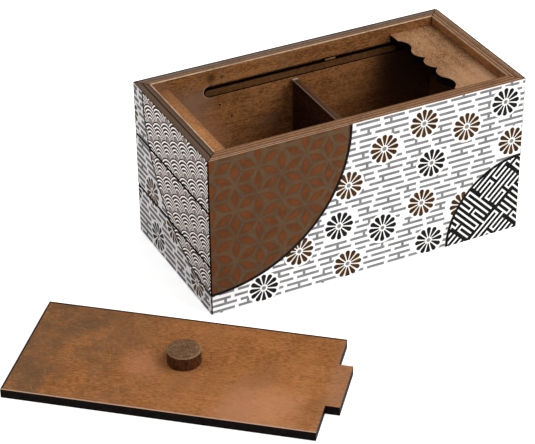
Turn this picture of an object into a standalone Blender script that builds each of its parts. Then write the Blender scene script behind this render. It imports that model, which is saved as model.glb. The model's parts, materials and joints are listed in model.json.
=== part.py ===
"""A wooden puzzle box standing open, with its lid lying underside up on the table beside it.

Walls are two boards thick, a printed outer board and a stained inner one, and both are mitred at
the corners. The left end is three printed slats, which run upwards along their mitres, each on a
key in the inner board. A lock bar runs in a slot in the back wall. The origin is the centre of the
box's underside, with +X towards the scalloped shelf.
"""
import math

import bmesh
import bpy
from mathutils import Matrix, Vector

MM = 0.001
GAP = 0.3 * MM  # between pieces that touch
LENGTH = 150 * MM
WIDTH = 75 * MM
HEIGHT = 75 * MM
BOARD = 2.85 * MM  # the ply of the walls
THICK_BOARD = 3.85 * MM  # the ply of the shelf and the ledge
ARRIS = 0.22 * MM  # sanding on every edge
MITRE_ARRIS = 0.12 * MM  # less of it where two boards meet at a corner
MITRE_EASE = GAP / math.sqrt(2)  # each mitred end is shorter by this, which leaves the gap between

# The inside faces of the outer boards and of the inner boards.
OUTER_X = LENGTH / 2 - BOARD
OUTER_Y = WIDTH / 2 - BOARD
INNER_X = OUTER_X - GAP - BOARD
INNER_Y = OUTER_Y - GAP - BOARD
LINER_BOTTOM = BOARD + GAP

# The left end's slats, from the bottom up. Each one slides up, and lifts those above it.
SLAT_GAP = 0.8 * MM
SLAT_JOINTS = (24.1 * MM, 50.2 * MM)
SLAT_NAMES = ("slat_bottom", "slat_middle", "slat_top")
SLAT_TRAVEL = 2.5 * MM
KEY_HEIGHTS = (12 * MM, 37.2 * MM, 54.6 * MM)
KEY_LENGTH = 22 * MM
KEY_HEIGHT = 5 * MM
KEY_CLEARANCE = 0.3 * MM
KEY_REACH = 2.95 * MM  # from the slat through the inner board
KEEPER_LENGTH = 28 * MM
KEEPER_HEIGHT = 7.2 * MM
KEEPER_THICKNESS = 2.4 * MM

# What the lid rests on.
SEAT_DEPTH = 4.05 * MM  # below the rim
SEAT_TOP = HEIGHT - SEAT_DEPTH
SEAT_BOTTOM = SEAT_TOP - THICK_BOARD
LEDGE_EDGE_X = -61.2 * MM
SHELF_TIP_X = 47.6 * MM  # the scallops' tips
SHELF_NOTCH_X = 50.7 * MM  # the two sharp notches between the scallops
SHELF_HOLLOW_X = 50.5 * MM
SHELF_STEPS = 10
CLEAT_HEIGHT = 5 * MM
CLEAT_WIDTH = 5.5 * MM

DIVIDER_X = -0.7 * MM
DIVIDER_TOP = HEIGHT - 14 * MM

# The slot in the back wall, and the bar that runs in it.
SLOT_START = -44.6 * MM
SLOT_END = 60 * MM
SLOT_TOP = HEIGHT - 7.8 * MM
SLOT_BOTTOM = HEIGHT - 13.2 * MM
SLOT_STEPS = 10
BAR_TRAVEL = 8 * MM
BAR_HEIGHT = 3 * MM
BAR_THICKNESS = 2.4 * MM
BAR_FINGER_X = 17.5 * MM
BAR_FINGER = (5.5 * MM, 2 * MM, 1.3 * MM)

# The lid, in its own frame: X along it towards the tab, Z up from the table.
LID_LENGTH = 127.3 * MM
LID_WIDTH = 62 * MM
LID_THICKNESS = 4 * MM
TAB_LENGTH = 5.9 * MM
TAB_WIDTH = 27.4 * MM
LID_CENTRE = (-104.3 * MM, -66.4 * MM)
LID_YAW = math.radians(-39.7)
KNOB_PLACE = (2.6 * MM, 2.5 * MM)  # from the lid's middle
KNOB_RADIUS = 7 * MM
KNOB_HEIGHT = 6 * MM
KNOB_CHAMFER = 0.5 * MM
KNOB_STEPS = 64
DOWEL_RADIUS = 2.5 * MM
DOWEL_LENGTH = 6.4 * MM
DOWEL_START = 1.3 * MM  # above the table
DOWEL_STEPS = 32


def clear_scene():
    for obj in list(bpy.data.objects):
        bpy.data.objects.remove(obj, do_unlink=True)


def new_collection(name):
    collection = bpy.data.collections.new(name)
    bpy.context.scene.collection.children.link(collection)
    return collection


def new_material(name, colour, roughness):
    material = bpy.data.materials.new(name)
    material.use_nodes = True
    shader = material.node_tree.nodes["Principled BSDF"]
    shader.inputs["Base Color"].default_value = (*colour, 1)
    shader.inputs["Roughness"].default_value = roughness
    shader.inputs["Metallic"].default_value = 0
    material.diffuse_color = (*colour, 1)
    return material


def new_object(name, mesh, material=None):
    """A part in the object's collection, or a cutter where there is no material."""
    obj = bpy.data.objects.new(name, mesh)
    if material:
        mesh.materials.append(material)
        PARTS.objects.link(obj)
    else:
        CUTTERS.objects.link(obj)
        obj.hide_render = True
        obj.display_type = "WIRE"
    return obj


def new_carrier(name, location, yaw=0.0):
    """The empty that a moving body hangs from, at its joint."""
    carrier = bpy.data.objects.new(name, None)
    carrier.empty_display_size = 5 * MM
    carrier.location = location
    carrier.rotation_euler = (0, 0, yaw)
    PARTS.objects.link(carrier)
    return carrier


def sand_edges(obj, width=ARRIS):
    bevel = obj.modifiers.new("sanded edges", "BEVEL")
    bevel.width = width
    bevel.segments = 1
    bevel.limit_method = "ANGLE"
    bevel.angle_limit = math.radians(40)
    return obj


def block(name, low, high, material=None):
    """A box between two corners, with its origin at its centre."""
    low = Vector(low)
    high = Vector(high)
    mesh = bpy.data.meshes.new(name)
    shape = bmesh.new()
    bmesh.ops.create_cube(shape, size=1, matrix=Matrix.Diagonal((*(high - low), 1)))
    shape.to_mesh(mesh)
    shape.free()
    obj = new_object(name, mesh, material)
    obj.location = (low + high) / 2
    return obj


def board(name, low, high, material):
    return sand_edges(block(name, low, high, material))


def plate(name, outline, bottom, thickness, material=None):
    """A flat outline in X and Y, made this thick upwards from the bottom."""
    curve = bpy.data.curves.new(name, "CURVE")
    curve.dimensions = "2D"
    curve.fill_mode = "BOTH"
    curve.extrude = thickness / 2
    spline = curve.splines.new("POLY")
    spline.points.add(len(outline) - 1)
    for point, (x, y) in zip(spline.points, outline):
        point.co = (x, y, 0, 1)
    spline.use_cyclic_u = True
    flat = bpy.data.objects.new(name + "_outline", curve)
    CUTTERS.objects.link(flat)
    graph = bpy.context.evaluated_depsgraph_get()
    mesh = bpy.data.meshes.new_from_object(flat.evaluated_get(graph))
    bpy.data.objects.remove(flat)
    shape = bmesh.new()
    shape.from_mesh(mesh)
    bmesh.ops.remove_doubles(shape, verts=shape.verts, dist=0.001 * MM)
    bmesh.ops.recalc_face_normals(shape, faces=shape.faces)
    shape.to_mesh(mesh)
    shape.free()
    obj = new_object(name, mesh, material)
    obj.location = (0, 0, bottom + thickness / 2)
    return obj


def rod(name, radius, bottom, top, steps, material=None):
    mesh = bpy.data.meshes.new(name)
    shape = bmesh.new()
    bmesh.ops.create_cone(
        shape, cap_ends=True, segments=steps, radius1=radius, radius2=radius, depth=top - bottom
    )
    shape.to_mesh(mesh)
    shape.free()
    obj = new_object(name, mesh, material)
    obj.location = (0, 0, (bottom + top) / 2)
    return obj


def cut(obj, cutter):
    modifier = obj.modifiers.new("cut " + cutter.name, "BOOLEAN")
    modifier.operation = "DIFFERENCE"
    modifier.solver = "EXACT"
    modifier.object = cutter
    return obj


def arc_through(start, middle, end, steps):
    """Points on the circle through three points, from the start up to but not at the end."""
    a, b, c = (complex(*point) for point in (start, middle, end))
    w = (c - a) / (b - a)
    centre = (b - a) * (w - abs(w) ** 2) / (2j * w.imag) + a
    spoke = a - centre
    turn = math.atan2(((c - centre) / spoke).imag, ((c - centre) / spoke).real)
    half = math.atan2(((b - centre) / spoke).imag, ((b - centre) / spoke).real)
    if half * turn < 0:
        turn += math.copysign(2 * math.pi, half)
    points = []
    for step in range(steps):
        angle = turn * step / steps
        point = centre + spoke * complex(math.cos(angle), math.sin(angle))
        points.append((point.real, point.imag))
    return points


def mitred_wall(name, side, half_size, heights, material):
    """One wall of a rectangular ring of boards, with both ends cut at 45 degrees.

    The side is the unit vector towards the outside, and half_size the ring's outer half sizes.
    """
    across = 0 if side[0] else 1
    along = 1 - across
    centre = [0, 0]
    size = [0, 0]
    centre[across] = side[across] * (half_size[across] - BOARD / 2)
    size[across] = BOARD
    size[along] = 2 * (half_size[along] - MITRE_EASE)
    low = (centre[0] - size[0] / 2, centre[1] - size[1] / 2, heights[0])
    high = (centre[0] + size[0] / 2, centre[1] + size[1] / 2, heights[1])
    wall = block(name, low, high, material)
    for vertex in wall.data.vertices:
        if vertex.co[across] * side[across] < 0:
            vertex.co[along] -= math.copysign(BOARD, vertex.co[along])
    return wall


def make_shell():
    """The bottom, the ring of printed outer boards and the ring of plain inner boards."""
    outer = (LENGTH / 2, WIDTH / 2)
    inner = (OUTER_X - GAP, OUTER_Y - GAP)
    board("bottom_board", (-inner[0], -inner[1], 0), (*inner, BOARD), STAINED)
    for name, side in (("front", (0, -1)), ("back", (0, 1)), ("right", (1, 0))):
        wall = mitred_wall(name + "_outer_board", side, outer, (0, HEIGHT), PRINTED)
        sand_edges(wall, MITRE_ARRIS)
    for name, side in (("front", (0, -1)), ("back", (0, 1)), ("right", (1, 0)), ("left", (-1, 0))):
        wall = mitred_wall(name + "_inner_board", side, inner, (LINER_BOTTOM, HEIGHT), STAINED)
        if name == "back":
            cut(wall, make_back_slot_cutter())
        if name == "left":
            for number, height in enumerate(KEY_HEIGHTS, start=1):
                cut(wall, make_key_slot_cutter(number, height))
        sand_edges(wall, MITRE_ARRIS)


def make_back_slot_cutter():
    """A slot with round ends, running along X."""
    radius = (SLOT_TOP - SLOT_BOTTOM) / 2
    outline = []
    for centre_x, start in ((SLOT_END - radius, -math.pi / 2), (SLOT_START + radius, math.pi / 2)):
        for step in range(SLOT_STEPS + 1):
            angle = start + math.pi * step / SLOT_STEPS
            outline.append((centre_x + radius * math.cos(angle), radius * math.sin(angle)))
    cutter = plate("back_slot_cutter", outline, 0, 3 * BOARD)
    cutter.rotation_euler = (math.pi / 2, 0, 0)
    cutter.location = (0, (INNER_Y + OUTER_Y) / 2, (SLOT_TOP + SLOT_BOTTOM) / 2)
    return cutter


def make_key_slot_cutter(number, height):
    """The slot that a slat's key rises in, as far as this slat and all those below it can."""
    half_length = KEY_LENGTH / 2 + KEY_CLEARANCE
    half_height = KEY_HEIGHT / 2 + KEY_CLEARANCE
    return block(
        f"key_slot_cutter_{number}",
        (-OUTER_X - BOARD, -half_length, height - half_height),
        (-INNER_X + BOARD, half_length, height + half_height + number * SLAT_TRAVEL),
    )


def slat_heights():
    """The (low, high) heights of the slats, from the bottom up."""
    joints = (-SLAT_GAP / 2, *SLAT_JOINTS, HEIGHT + SLAT_GAP / 2)
    return [(low + SLAT_GAP / 2, high - SLAT_GAP / 2) for low, high in zip(joints, joints[1:])]


def make_slats():
    """Each slat, its key through the inner board, and the keeper that holds it from inside."""
    below = None
    key_start = -OUTER_X + GAP
    key_end = key_start + KEY_REACH
    keeper_start = key_end + GAP
    keeper_end = keeper_start + KEEPER_THICKNESS
    for name, heights, key in zip(SLAT_NAMES, slat_heights(), KEY_HEIGHTS):
        slat = mitred_wall(name, (-1, 0), (LENGTH / 2, WIDTH / 2), heights, PRINTED)
        pieces = [
            sand_edges(slat, MITRE_ARRIS),
            board(
                name + "_key",
                (key_start, -KEY_LENGTH / 2, key - KEY_HEIGHT / 2),
                (key_end, KEY_LENGTH / 2, key + KEY_HEIGHT / 2),
                PALE,
            ),
            board(
                name + "_keeper",
                (keeper_start, -KEEPER_LENGTH / 2, key - KEEPER_HEIGHT / 2),
                (keeper_end, KEEPER_LENGTH / 2, key + KEEPER_HEIGHT / 2),
                PALE,
            ),
        ]
        carrier = new_carrier(name + "_slide", (-LENGTH / 2, 0, sum(heights) / 2))
        hang(pieces, carrier)
        if below:
            carrier.parent = below
            carrier.location -= below.matrix_world.translation
        bpy.context.view_layer.update()
        below = carrier


def hang(pieces, carrier):
    for piece in pieces:
        piece.parent = carrier
        piece.matrix_parent_inverse = Matrix.Translation(carrier.location).inverted()


def make_lid_seats():
    """The ledge at the left with the partition under it, and the scalloped shelf at the right."""
    reach_x = INNER_X - GAP
    reach_y = INNER_Y - GAP
    board("left_ledge", (-reach_x, -reach_y, SEAT_BOTTOM), (LEDGE_EDGE_X, reach_y, SEAT_TOP), STAINED)
    board(
        "left_partition",
        (LEDGE_EDGE_X - BOARD, -reach_y, LINER_BOTTOM),
        (LEDGE_EDGE_X, reach_y, SEAT_BOTTOM - GAP),
        STAINED,
    )
    plate("right_shelf", shelf_outline(reach_x, reach_y), SEAT_BOTTOM, THICK_BOARD, STAINED)
    cleat_top = SEAT_BOTTOM - GAP
    cleat_x = reach_x - CLEAT_WIDTH
    board(
        "shelf_cleat_right",
        (cleat_x, -reach_y, cleat_top - CLEAT_HEIGHT),
        (reach_x, reach_y, cleat_top),
        STAINED,
    )
    board(
        "shelf_cleat_front",
        (SHELF_HOLLOW_X + GAP, -reach_y, cleat_top - CLEAT_HEIGHT),
        (cleat_x - GAP, -reach_y + CLEAT_WIDTH, cleat_top),
        STAINED,
    )


def shelf_outline(reach_x, reach_y):
    """The shelf seen from above: three scallops, a hollow on each side, then a straight end."""
    notch = 5.3 * MM
    lobe = 9.8 * MM
    turn = 14.4 * MM
    hollow = 19.4 * MM
    cusp = 24.4 * MM
    turn_x = 48.7 * MM
    side = [
        *arc_through((SHELF_NOTCH_X, notch), (SHELF_TIP_X, lobe), (turn_x, turn), SHELF_STEPS),
        *arc_through((turn_x, turn), (SHELF_HOLLOW_X, hollow), (SHELF_TIP_X, cusp), SHELF_STEPS),
        (SHELF_TIP_X, cusp),
        (SHELF_TIP_X, reach_y),
    ]
    middle = arc_through(
        (SHELF_NOTCH_X, -notch), (SHELF_TIP_X, 0), (SHELF_NOTCH_X, notch), 2 * SHELF_STEPS
    )
    mirrored = [(x, -y) for x, y in reversed(side)]
    return [(reach_x, reach_y), (reach_x, -reach_y), *mirrored, *middle[1:], *side]


def make_divider():
    reach_y = INNER_Y - GAP
    board(
        "divider",
        (DIVIDER_X - BOARD / 2, -reach_y, LINER_BOTTOM),
        (DIVIDER_X + BOARD / 2, reach_y, DIVIDER_TOP),
        STAINED,
    )


def make_lock_bar():
    """The bar in the back wall's slot, with a small finger grip standing on it."""
    bottom = SLOT_BOTTOM + GAP
    top = bottom + BAR_HEIGHT
    start = SLOT_START + 2 * GAP
    end = SLOT_END - 2 * GAP - BAR_TRAVEL
    front = INNER_Y + GAP
    carrier = new_carrier("lock_bar_slide", (start, front, (bottom + top) / 2))
    radius = BAR_HEIGHT / 2
    outline = []
    for centre_x, first in ((end - radius, -math.pi / 2), (start + radius, math.pi / 2)):
        for step in range(SLOT_STEPS + 1):
            angle = first + math.pi * step / SLOT_STEPS
            outline.append((centre_x + radius * math.cos(angle), radius * math.sin(angle)))
    bar = plate("lock_bar", outline, 0, BAR_THICKNESS, PALE)
    bar.rotation_euler = (math.pi / 2, 0, 0)
    bar.location = (0, front + BAR_THICKNESS / 2, (bottom + top) / 2)
    length, depth, height = BAR_FINGER
    finger = board(
        "lock_bar_finger",
        (BAR_FINGER_X - length / 2, front, top + GAP),
        (BAR_FINGER_X + length / 2, front + depth, top + GAP + height),
        PALE,
    )
    hang([bar, finger], carrier)


def lid_outline():
    end = LID_LENGTH / 2
    side = LID_WIDTH / 2
    tab = TAB_WIDTH / 2
    tip = end + TAB_LENGTH
    return [
        (-end, -side),
        (end, -side),
        (end, -tab),
        (tip, -tab),
        (tip, tab),
        (end, tab),
        (end, side),
        (-end, side),
    ]


def make_knob():
    """A short round knob, hollow underneath for the dowel."""
    bore = DOWEL_RADIUS + GAP
    bore_top = DOWEL_START + DOWEL_LENGTH + GAP - LID_THICKNESS - GAP
    profile = (
        (0, KNOB_HEIGHT),
        (KNOB_RADIUS - KNOB_CHAMFER, KNOB_HEIGHT),
        (KNOB_RADIUS, KNOB_HEIGHT - KNOB_CHAMFER),
        (KNOB_RADIUS, 0),
        (bore, 0),
        (bore, bore_top),
        (0, bore_top),
    )
    mesh = bpy.data.meshes.new("lid_knob")
    edges = [(step, step + 1) for step in range(len(profile) - 1)]
    mesh.from_pydata([(x, 0, z) for x, z in profile], edges, [])
    knob = new_object("lid_knob", mesh, STAINED)
    screw = knob.modifiers.new("turned", "SCREW")
    screw.steps = KNOB_STEPS
    screw.render_steps = KNOB_STEPS
    screw.use_merge_vertices = True
    screw.merge_threshold = 0.001 * MM
    knob.location = (*KNOB_PLACE, LID_THICKNESS + GAP)
    return knob


def make_lid():
    """The lid, its knob and the dowel between them, built about the lid's middle."""
    carrier = new_carrier("lid_lift", (*LID_CENTRE, 0), LID_YAW)
    lid = plate("lid_board", lid_outline(), 0, LID_THICKNESS, STAINED)
    bore = rod(
        "lid_bore_cutter",
        DOWEL_RADIUS + GAP,
        DOWEL_START - GAP,
        LID_THICKNESS + 2 * MM,
        DOWEL_STEPS,
    )
    dowel = rod(
        "knob_dowel", DOWEL_RADIUS, DOWEL_START, DOWEL_START + DOWEL_LENGTH, DOWEL_STEPS, PALE
    )
    for round_piece in (bore, dowel):
        round_piece.location.xy = KNOB_PLACE
    cut(lid, bore)
    for piece in (lid, bore, dowel, make_knob()):
        piece.parent = carrier


clear_scene()
PARTS = new_collection("wooden_puzzle_box")
CUTTERS = new_collection("cutters")
CUTTERS.hide_render = True
PRINTED = new_material("printed_board", (0.80, 0.79, 0.77), 0.55)
STAINED = new_material("stained_ply", (0.26, 0.12, 0.055), 0.6)
PALE = new_material("pale_wood", (0.50, 0.32, 0.17), 0.65)
make_shell()
make_slats()
make_lid_seats()
make_divider()
make_lock_bar()
make_lid()
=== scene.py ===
import json
import math
import random

import bpy
from mathutils import Matrix, Vector
from mathutils.geometry import tessellate_polygon


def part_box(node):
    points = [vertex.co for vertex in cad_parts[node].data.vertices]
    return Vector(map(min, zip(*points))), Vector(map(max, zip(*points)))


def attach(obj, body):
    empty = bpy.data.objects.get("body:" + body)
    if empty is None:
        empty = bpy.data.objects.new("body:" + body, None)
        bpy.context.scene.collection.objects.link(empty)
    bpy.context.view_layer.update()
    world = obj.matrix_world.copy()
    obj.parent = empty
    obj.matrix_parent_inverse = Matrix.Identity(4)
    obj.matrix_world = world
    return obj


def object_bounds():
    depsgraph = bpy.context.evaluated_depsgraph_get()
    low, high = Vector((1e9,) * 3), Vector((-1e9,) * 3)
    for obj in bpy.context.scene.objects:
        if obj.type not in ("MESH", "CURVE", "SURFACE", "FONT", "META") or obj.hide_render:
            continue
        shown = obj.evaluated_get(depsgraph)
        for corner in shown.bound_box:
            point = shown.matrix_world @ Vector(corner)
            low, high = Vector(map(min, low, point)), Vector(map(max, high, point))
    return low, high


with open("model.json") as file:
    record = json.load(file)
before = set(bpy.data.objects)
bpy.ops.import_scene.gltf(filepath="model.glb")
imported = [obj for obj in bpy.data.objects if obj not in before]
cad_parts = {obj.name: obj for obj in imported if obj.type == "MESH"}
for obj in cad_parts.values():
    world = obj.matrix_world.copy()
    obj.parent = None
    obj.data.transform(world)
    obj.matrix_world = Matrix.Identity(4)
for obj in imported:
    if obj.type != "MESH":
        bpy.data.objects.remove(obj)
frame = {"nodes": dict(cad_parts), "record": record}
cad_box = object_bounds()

MM = 0.001

# The camera: where it stands round the box, and how far it is from what it looks at.
AZIMUTH = math.radians(-26.2444)
ELEVATION = math.radians(32.6236)
ROLL = math.radians(-0.6429)
DISTANCE = 889 * MM
AIM_RIGHT = -27.1 * MM
AIM_UP = 2.6 * MM
LENS_MM = 133.94

# The light.
SKY = 0.74
KEY_STRENGTH = 2.1
KEY_SPREAD = math.radians(45)
KEY_FROM = (0.85, -0.60, 1.0)
FLOOR_GLOW = 0.5
FLOOR_HALF = 3.0
FLOOR_DROP = 0.05 * MM

# The print, in millimetres on each face: across from its left edge and down from its top.
LAYER = 0.02  # the height of one ink over another
INK_FOOT = 0.004  # how far an ink's underside is off the wood
EDGE_MARGIN = 0.14
EDGE_SLACK = 0.02  # how far under the print the bare edge goes
JOINT_MARGIN = 0.27
SMALLEST = 0.003  # square millimetres of ink
ROW_PITCH = 2.78
ROW_START = 0.7
BAR_GAP = 1.75
GLYPH_PITCH = 24.0
GAP_NUDGE = 3.0
STEM_NUDGE = 1.0
SHORTEST_STUB = 1.9  # a shorter end of a bar past a flower's clearing is covered
COVER_MARGIN = 0.05  # how much further than the end its cover goes
FLOWER_PERIOD = (40.1, 39.2)
FLOWER_OFFSETS = ((0.0, 0.0), (18.98, -7.1), (23.3, 13.3))
FLOWER_ROWS = range(-2, 4)  # enough cells to cover any face
FLOWER_COLUMNS = range(-5, 6)
FLOWER_CLEAR = 7.55
FLOWER_HIDDEN = 4.0  # a flower this far inside a disc is left out
PETALS = 12
PETAL_INNER = 1.75
PETAL_OUTER = 6.75
PETAL_HALF_FOOT = 0.27
PETAL_HALF_HEAD = 1.10
PETAL_HEAD_STEPS = 6
GOLD_RAY = ((2.6, -0.06), (5.3, -0.15), (5.9, 0), (5.3, 0.15), (2.6, 0.06))
RING_OUTER = 1.35
RING_INNER = 0.95
RING_STEPS = 24
DISC_OUTLINE = 1.25
LEAF_START = (22.5, 8.25)
LEAF_SIDE = 12.4
LEAF_SIZES = ((8.7, 3.5), (7.2, 2.5))  # a leaf and its brighter middle
LEAF_COLUMNS = range(-9, 16)  # enough stars to cover any face
LEAF_ROWS = range(-8, 10)
VEIN_START = 0.2
VEIN_REACH = 0.95  # of the way to where three veins meet
VEIN_HALF_FOOT = 0.14
VEIN_HALF_TIP = 0.22
WAVE_RADIUS = 8.66
WAVE_START = (1.2, 2.6)
WAVE_ROWS = range(-2, 30)  # enough fans to cover the left end
WAVE_COLUMNS = range(-1, 8)
WAVE_ARCS = 4
WAVE_PITCH = 1.65
WAVE_LINE = 0.60
WAVE_BORDER = 0.55  # dark, outside the outermost arc
WAVE_HEART = 0.2  # added to the radius of a fan's light heart
FRET_UNIT = 2.35
FRET_LINE = 0.88
ARC_STEPS = 8
CIRCLE_STEPS = 40
SMALL_CIRCLE_STEPS = 16
DISC_STEPS = 180

# How the lid lies, and half its length and width.
LID_YAW = math.radians(-39.7)
LID_HALF = (63.65 * MM, 31.0 * MM)

RIM_DEPTH = 0.3 * MM  # how far down from a board's top its striped edge goes
FIBRE_SHARE = 0.48  # of a wood's tone
FINER = 1.6  # how much finer a board's fibres are than the lid's
MATT = (0.74, 0.54)  # roughness in the dark and the light of a board's grain
BUMP_DEPTH = 0.2 * MM
BUMP_STRENGTH = 0.5

BODY_OF = {}
for body_name, body_nodes in frame["record"]["behaviour"]["bodies"].items():
    for node_name in body_nodes:
        BODY_OF[node_name] = body_name

# Wood tones as linear colours: (dark, light, greyer patches).
WALL = ((0.125, 0.046, 0.013), (0.37, 0.160, 0.056), (0.21, 0.118, 0.068))
RIGHT_WALL = ((0.13, 0.050, 0.015), (0.36, 0.155, 0.055), (0.18, 0.090, 0.045))
LID = ((0.190, 0.070, 0.018), (0.390, 0.153, 0.052), (0.235, 0.098, 0.038))
LID_CLOUD = (0.115, 0.062, 0.030)
LID_PORE = (0.085, 0.034, 0.012)
LID_SCRATCH = (0.50, 0.26, 0.13)
LID_KNOB_HIGHLIGHT = (0.47, 0.20, 0.10)  # a painted highlight beside the knob
LID_ROSY = (0.50, 0.235, 0.125)
LID_TAB = (0.42, 0.25, 0.17)
LID_ARRIS = (0.52, 0.34, 0.25)
SHELF = ((0.135, 0.058, 0.022), (0.370, 0.200, 0.098), (0.16, 0.085, 0.042))
LEDGE = ((0.170, 0.066, 0.019), (0.420, 0.185, 0.070), (0.22, 0.110, 0.052))
# darker than the walls' wood: painted shade of the recessed slot that the bar sits in
BAR_SHADED_WOOD = ((0.050, 0.020, 0.007), (0.150, 0.064, 0.021), (0.08, 0.038, 0.015))
PALE = ((0.32, 0.19, 0.10), (0.52, 0.34, 0.20), (0.36, 0.25, 0.16))
KNOB_TOP = ((0.085, 0.040, 0.018), (0.205, 0.118, 0.062), (0.13, 0.075, 0.040))
KNOB_SIDE = ((0.030, 0.010, 0.004), (0.100, 0.034, 0.011), (0.050, 0.018, 0.007))
# a darker copy of the wall's wood: painted shade on the divider's left face
DIVIDER_LEFT_SHADE = ((0.014, 0.005, 0.003), (0.055, 0.020, 0.009), (0.030, 0.012, 0.006))
BURNT = ((0.0015, 0.001, 0.001), (0.007, 0.004, 0.003), (0.003, 0.002, 0.002))
GROUND = (0.845, 0.84, 0.83)

SLATS = ("slat_top", "slat_middle", "slat_bottom")
PLAIN = (1, 1, 1)
LEFT_SHADE = (0.70, 0.675, 0.675)  # painted shade: the left side's print is darker than the others, as it faces away from the key light
LEFT_INKS = {  # and these inks have their own painted shade and tint there
    "chalk": (0.94, 0.89, 0.86),
    "stone": (0.68, 0.60, 0.58),
    "grey": (0.55, 0.53, 0.53),
}
VENEER = (0.10, 0.055, 0.030)  # round a printed face, where the print stops

# The edges of the rim's boards seen from above: (how far from the outside, colour).
# PEACH_HIGHLIGHT, and the palest tone at the inner edge of the back and left inner boards, are a
# painted highlight on their lit inner arris.
PEACH_HIGHLIGHT = (0.50, 0.335, 0.215)
SOOT = (0.022, 0.015, 0.011)
# painted shadow that the shelf casts on the walls below it
SHELF_SHADOW = (0.036, 0.016, 0.009)
RIM_FIBRE = (0.060, 0.032, 0.018)
RIM_WEAR = (0.085, 0.044, 0.024)
SPECKS = (0.62, 0.57, 0.50)  # in the white print
RIMS = {
    "front_outer_board": (
        (0.00, (0.42, 0.28, 0.19)), (0.10, (0.30, 0.165, 0.092)), (0.17, (0.055, 0.023, 0.011)),
        (0.30, (0.20, 0.092, 0.043)), (0.46, (0.40, 0.235, 0.135)), (0.56, (0.30, 0.155, 0.082)),
        (0.64, (0.035, 0.015, 0.008)), (0.78, (0.19, 0.086, 0.040)), (1.00, (0.27, 0.135, 0.066)),
    ),
    "front_inner_board": (
        (0.00, (0.34, 0.185, 0.098)), (0.16, (0.22, 0.105, 0.050)), (0.26, (0.035, 0.015, 0.008)),
        (0.40, (0.21, 0.098, 0.045)), (0.62, (0.32, 0.165, 0.082)), (0.74, (0.085, 0.036, 0.017)),
        (0.88, (0.22, 0.105, 0.050)), (1.00, (0.050, 0.022, 0.010)),
    ),
    "back_outer_board": (
        (0.00, (0.016, 0.014, 0.013)), (0.34, (0.040, 0.033, 0.029)), (0.46, (0.150, 0.108, 0.082)),
        (0.74, (0.190, 0.135, 0.100)), (0.86, (0.080, 0.055, 0.040)), (1.00, (0.150, 0.098, 0.066)),
    ),
    "back_inner_board": (
        (0.00, (0.165, 0.105, 0.070)), (0.22, (0.215, 0.130, 0.080)), (0.48, (0.110, 0.058, 0.032)),
        (0.66, (0.26, 0.145, 0.080)), (0.80, PEACH_HIGHLIGHT), (1.00, (0.58, 0.40, 0.26)),
    ),
    "right_outer_board": (
        (0.00, SOOT), (0.16, (0.045, 0.026, 0.016)), (0.28, (0.190, 0.098, 0.050)),
        (0.56, (0.310, 0.185, 0.105)), (0.70, (0.070, 0.038, 0.022)), (0.82, (0.230, 0.122, 0.064)),
        (1.00, (0.260, 0.142, 0.076)),
    ),
    "right_inner_board": (
        (0.00, (0.090, 0.046, 0.024)), (0.16, (0.300, 0.172, 0.096)), (0.46, (0.210, 0.108, 0.056)),
        (0.58, (0.080, 0.038, 0.019)), (0.72, (0.270, 0.148, 0.080)), (1.00, (0.370, 0.228, 0.134)),
    ),
    "slat_top": (
        (0.00, (0.060, 0.040, 0.028)), (0.22, (0.110, 0.071, 0.047)), (0.40, (0.080, 0.051, 0.034)),
        (0.58, (0.130, 0.085, 0.057)), (0.76, (0.090, 0.057, 0.037)), (1.00, (0.070, 0.044, 0.029)),
    ),
    "left_inner_board": (
        (0.00, (0.058, 0.036, 0.024)), (0.16, (0.120, 0.076, 0.049)), (0.46, (0.088, 0.052, 0.032)),
        (0.72, (0.055, 0.031, 0.019)), (0.84, PEACH_HIGHLIGHT), (1.00, (0.56, 0.38, 0.25)),
    ),
}


def scaled(colour, factor):
    return tuple(channel * factor for channel in colour)


def tinted(colour, tint):
    return tuple(channel * share for channel, share in zip(colour, tint))


# ---------------------------------------------------------------- node materials

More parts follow.
